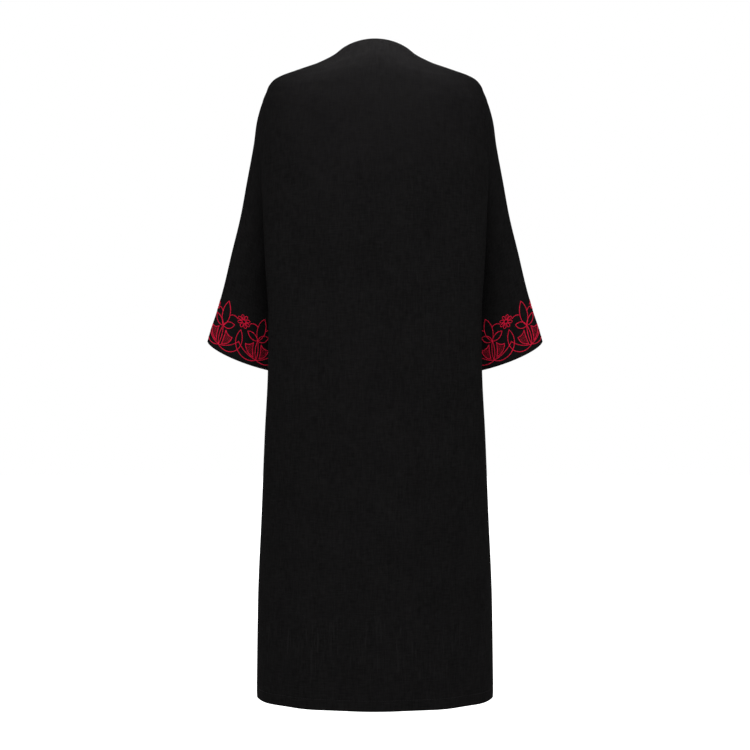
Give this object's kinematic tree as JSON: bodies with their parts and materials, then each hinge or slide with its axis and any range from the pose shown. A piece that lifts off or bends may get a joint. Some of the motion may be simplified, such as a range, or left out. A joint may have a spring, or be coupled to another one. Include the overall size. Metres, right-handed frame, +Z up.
{
  "type": "open-front long coat (manteau)",
  "caption": "Long open-front coat with sloping shoulders, straight flared three-quarter sleeves with embroidered cuffs and a level turned-up hem, filled out as when worn.",
  "frame": {"origin": "midway between the two side neck points, where the wearer's shoulders carry the coat", "axes": "+Z up along the coat's length, +Y towards the wearer's back, +X towards the wearer's left"},
  "size_m": [0.624, 0.2683, 1.2],
  "materials": {
    "black_cloth": "matt plain-woven black cloth with a fine uneven slub, faint sheen on the shoulders",
    "red_thread": "crimson embroidery thread with a soft lustre"
  },
  "bodies": {
    "root": {"back_upper": "black_cloth", "back_lower": "black_cloth", "front_left_upper": "black_cloth", "front_left_lower": "black_cloth", "front_right_upper": "black_cloth", "front_right_lower": "black_cloth", "sleeve_left": "black_cloth", "sleeve_right": "black_cloth"}
  },
  "joints": []
}
